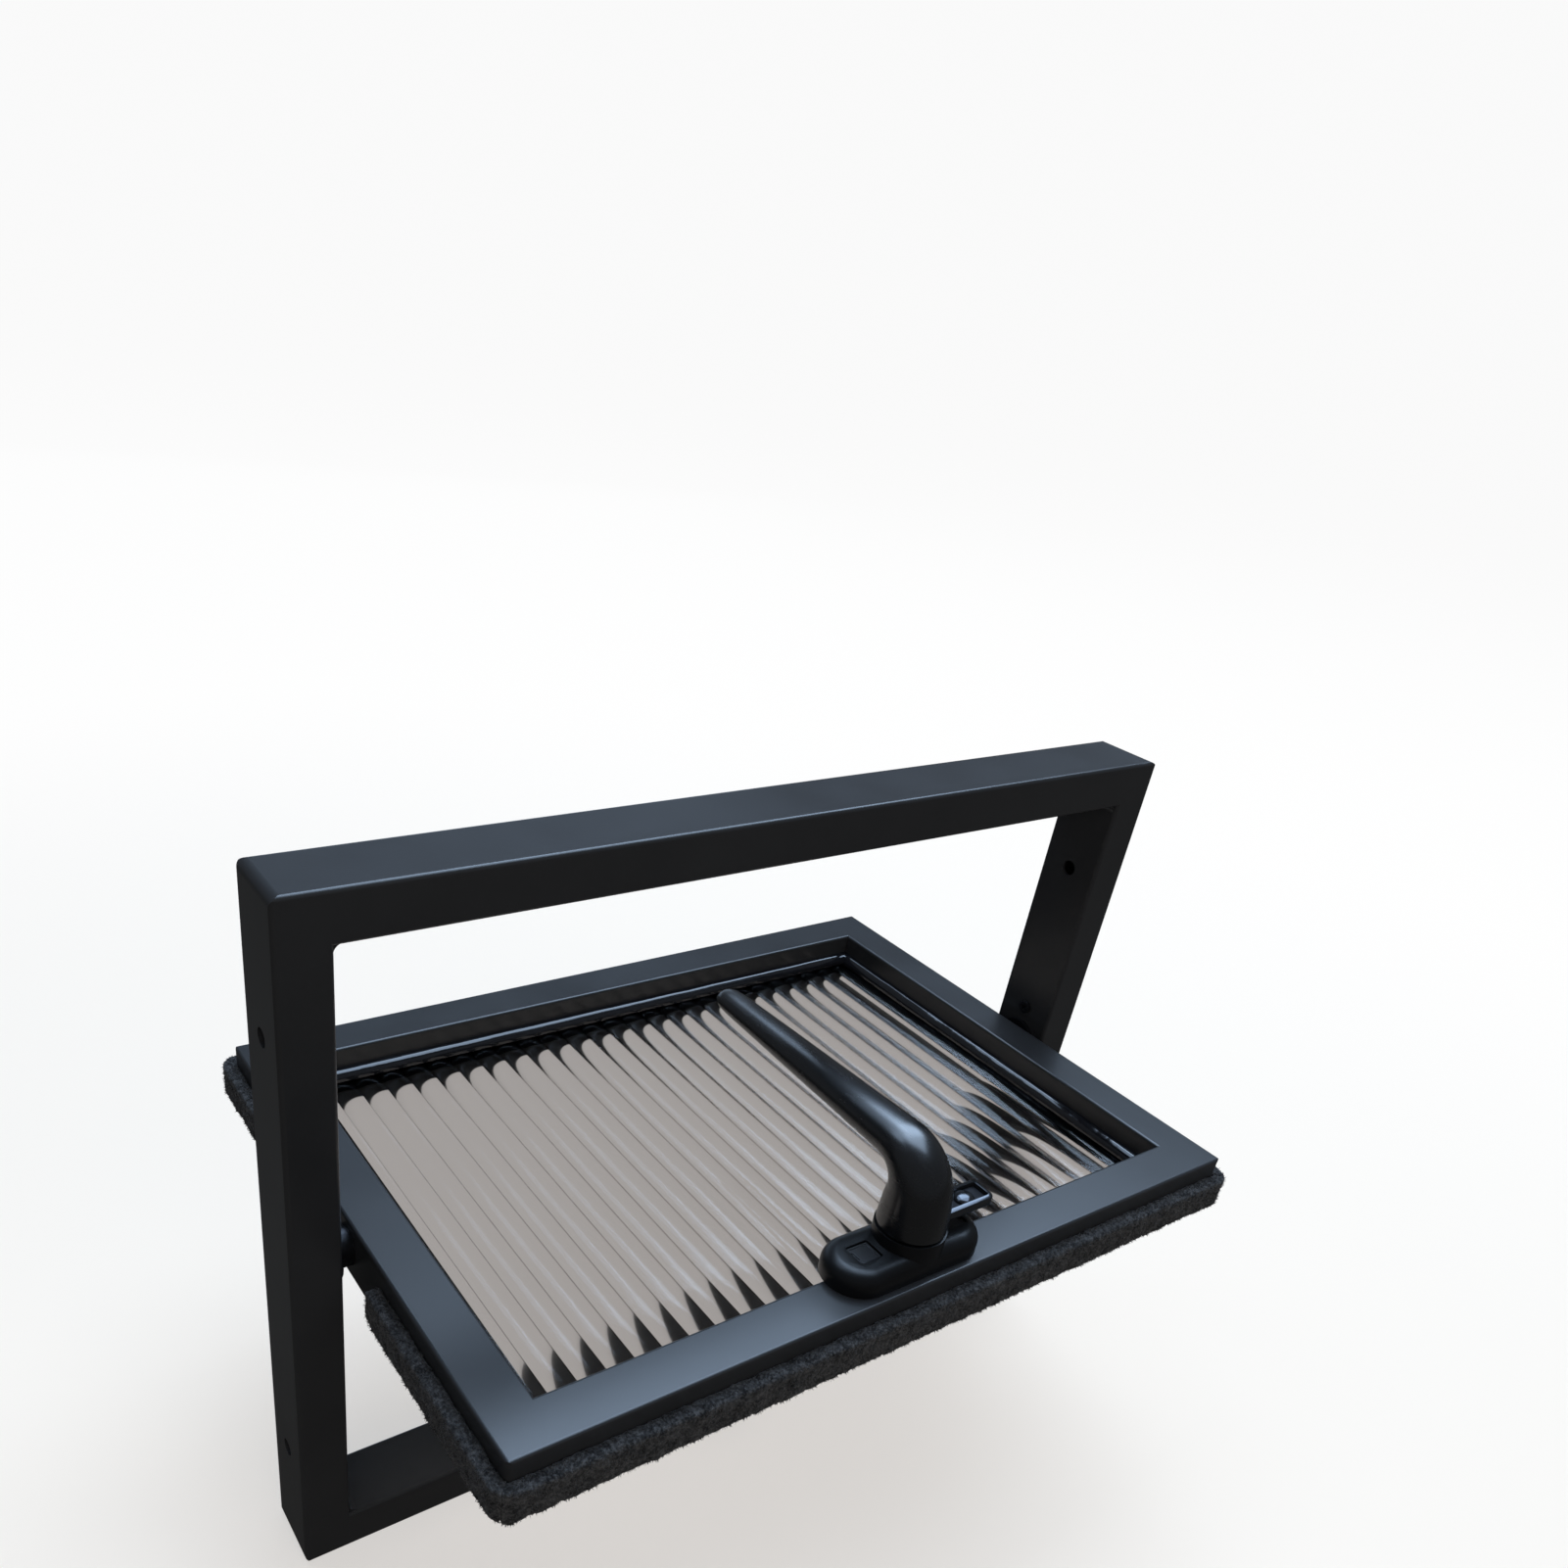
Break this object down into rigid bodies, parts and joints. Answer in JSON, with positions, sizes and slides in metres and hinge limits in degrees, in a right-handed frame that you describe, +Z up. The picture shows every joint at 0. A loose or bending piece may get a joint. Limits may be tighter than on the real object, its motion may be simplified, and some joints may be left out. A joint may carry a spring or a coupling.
{
  "type": "pivot window",
  "caption": "Small black centre-pivot window: box-tube frame, turning sash with reeded glass, pile weather strip and a locking lever handle with its keeper.",
  "frame": {"origin": "middle of the sill's underside, at mid-width and mid-depth of the frame", "axes": "+X along the width, -Y to the room side where the handle rail swings in, +Z up"},
  "size_m": [0.4, 0.259, 0.3],
  "materials": {
    "frame_coat": "satin black powder coat",
    "sash_coat": "satin black powder coat",
    "pivot_metal": "blackened steel",
    "pile": "dense grey-black brush pile",
    "handle_coat": "smooth satin black enamel on a casting",
    "handle_plastic": "black moulded caps",
    "spur_metal": "black bright plating",
    "reeded_glass": "clear reeded sheet",
    "sealant": "glossy black silicone"
  },
  "bodies": {
    "frame": {"frame_head": "frame_coat", "frame_sill": "frame_coat", "frame_jamb_left": "frame_coat", "frame_jamb_right": "frame_coat", "pivot_plate_left": "pivot_metal", "pivot_plate_right": "pivot_metal", "keeper": "handle_coat"},
    "sash": {"sash_top_rail": "sash_coat", "sash_bottom_rail": "sash_coat", "sash_stile_left": "sash_coat", "sash_stile_right": "sash_coat", "glazing_bead_top": "sash_coat", "glazing_bead_bottom": "sash_coat", "glazing_bead_left": "sash_coat", "glazing_bead_right": "sash_coat", "glass_pane": "reeded_glass", "glazing_sealant": "sealant", "pile_strip_top": "pile", "pile_strip_bottom": "pile", "pile_strip_left_upper": "pile", "pile_strip_left_lower": "pile", "pile_strip_right_upper": "pile", "pile_strip_right_lower": "pile", "pivot_pin_left": "pivot_metal", "pivot_pin_right": "pivot_metal", "handle_base": "handle_coat", "handle_screw_cover_left": "handle_plastic", "handle_screw_cover_right": "handle_plastic"},
    "handle": {"handle_lever": "handle_coat", "handle_spur": "spur_metal"}
  },
  "joints": [
    {"name": "sash_pivot", "type": "hinge", "parent": "frame", "child": "sash", "pos_m": [0, 0, 0.15], "axis": [-1, 0, 0], "range_deg": [-90, 90]},
    {"name": "handle_turn", "type": "hinge", "parent": "sash", "child": "handle", "pos_m": [0, -0.107, 0.17], "axis": [0, 0, 1], "range_deg": [-90, 0]}
  ]
}
